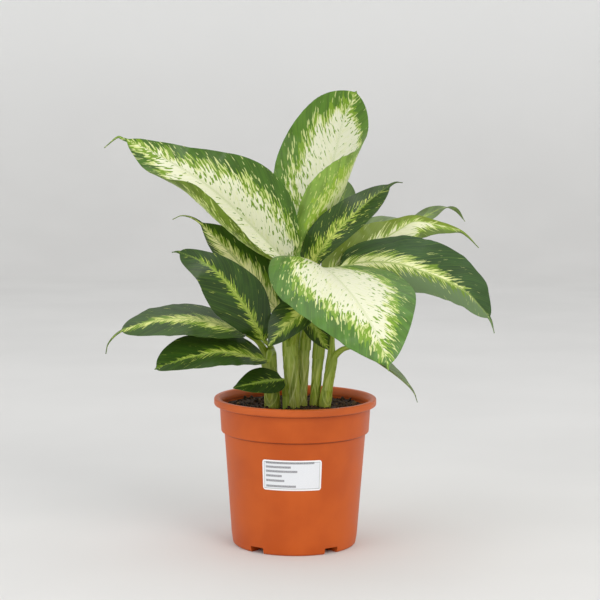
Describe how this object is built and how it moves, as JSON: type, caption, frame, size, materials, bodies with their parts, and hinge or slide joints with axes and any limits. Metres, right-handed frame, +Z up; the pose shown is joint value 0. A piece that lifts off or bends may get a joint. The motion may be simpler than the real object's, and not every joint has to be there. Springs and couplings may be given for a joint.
{
  "type": "potted dieffenbachia",
  "caption": "Variegated dieffenbachia house plant in a round terracotta-coloured nursery pot; broad pointed leaves with cream centres and green margins on short canes standing in soil.",
  "frame": {"origin": "centre of the pot's flat underside, on the surface it stands on", "axes": "+Z up along the pot's axis, -Y towards the front, where the label is, +X to the viewer's right"},
  "size_m": [0.3068, 0.2089, 0.3627],
  "materials": {
    "pot": "satin terracotta-coloured moulded plastic",
    "pot_label": "smooth pale paper, left blank",
    "soil": "dark crumbly peat",
    "cane_left": "smooth green stem with pale streaks",
    "cane_front": "smooth green stem with pale streaks",
    "cane_back": "smooth green stem with pale streaks",
    "cane_middle": "smooth green stem with pale streaks",
    "cane_right": "smooth green stem with pale streaks",
    "leaf_01": "satin leaf, cream centre and green margin",
    "leaf_02": "satin leaf, cream centre and green margin",
    "leaf_03": "satin leaf, cream centre and green margin",
    "leaf_04": "satin leaf, cream centre and green margin",
    "leaf_05": "satin leaf, cream centre and green margin",
    "leaf_06": "satin leaf, cream centre and green margin",
    "leaf_07": "satin leaf, cream centre and green margin",
    "leaf_08": "satin leaf, cream centre and green margin",
    "leaf_09": "satin leaf, cream centre and green margin",
    "leaf_10": "satin leaf, cream centre and green margin",
    "leaf_11": "satin leaf, cream centre and green margin",
    "leaf_12": "satin leaf, cream centre and green margin",
    "leaf_13": "satin leaf, cream centre and green margin",
    "leaf_14": "satin leaf, cream centre and green margin",
    "leaf_15": "satin leaf, cream centre and green margin",
    "leaf_16": "satin leaf, cream centre and green margin",
    "leaf_17": "satin leaf, cream centre and green margin"
  },
  "bodies": {
    "root": {"pot": "pot", "pot_label": "pot_label", "soil": "soil", "cane_left": "cane_left", "cane_front": "cane_front", "cane_back": "cane_back", "cane_middle": "cane_middle", "cane_right": "cane_right", "leaf_01": "leaf_01", "leaf_02": "leaf_02", "leaf_03": "leaf_03", "leaf_04": "leaf_04", "leaf_05": "leaf_05", "leaf_06": "leaf_06", "leaf_07": "leaf_07", "leaf_08": "leaf_08", "leaf_09": "leaf_09", "leaf_10": "leaf_10", "leaf_11": "leaf_11", "leaf_12": "leaf_12", "leaf_13": "leaf_13", "leaf_14": "leaf_14", "leaf_15": "leaf_15", "leaf_16": "leaf_16", "leaf_17": "leaf_17"}
  },
  "joints": []
}
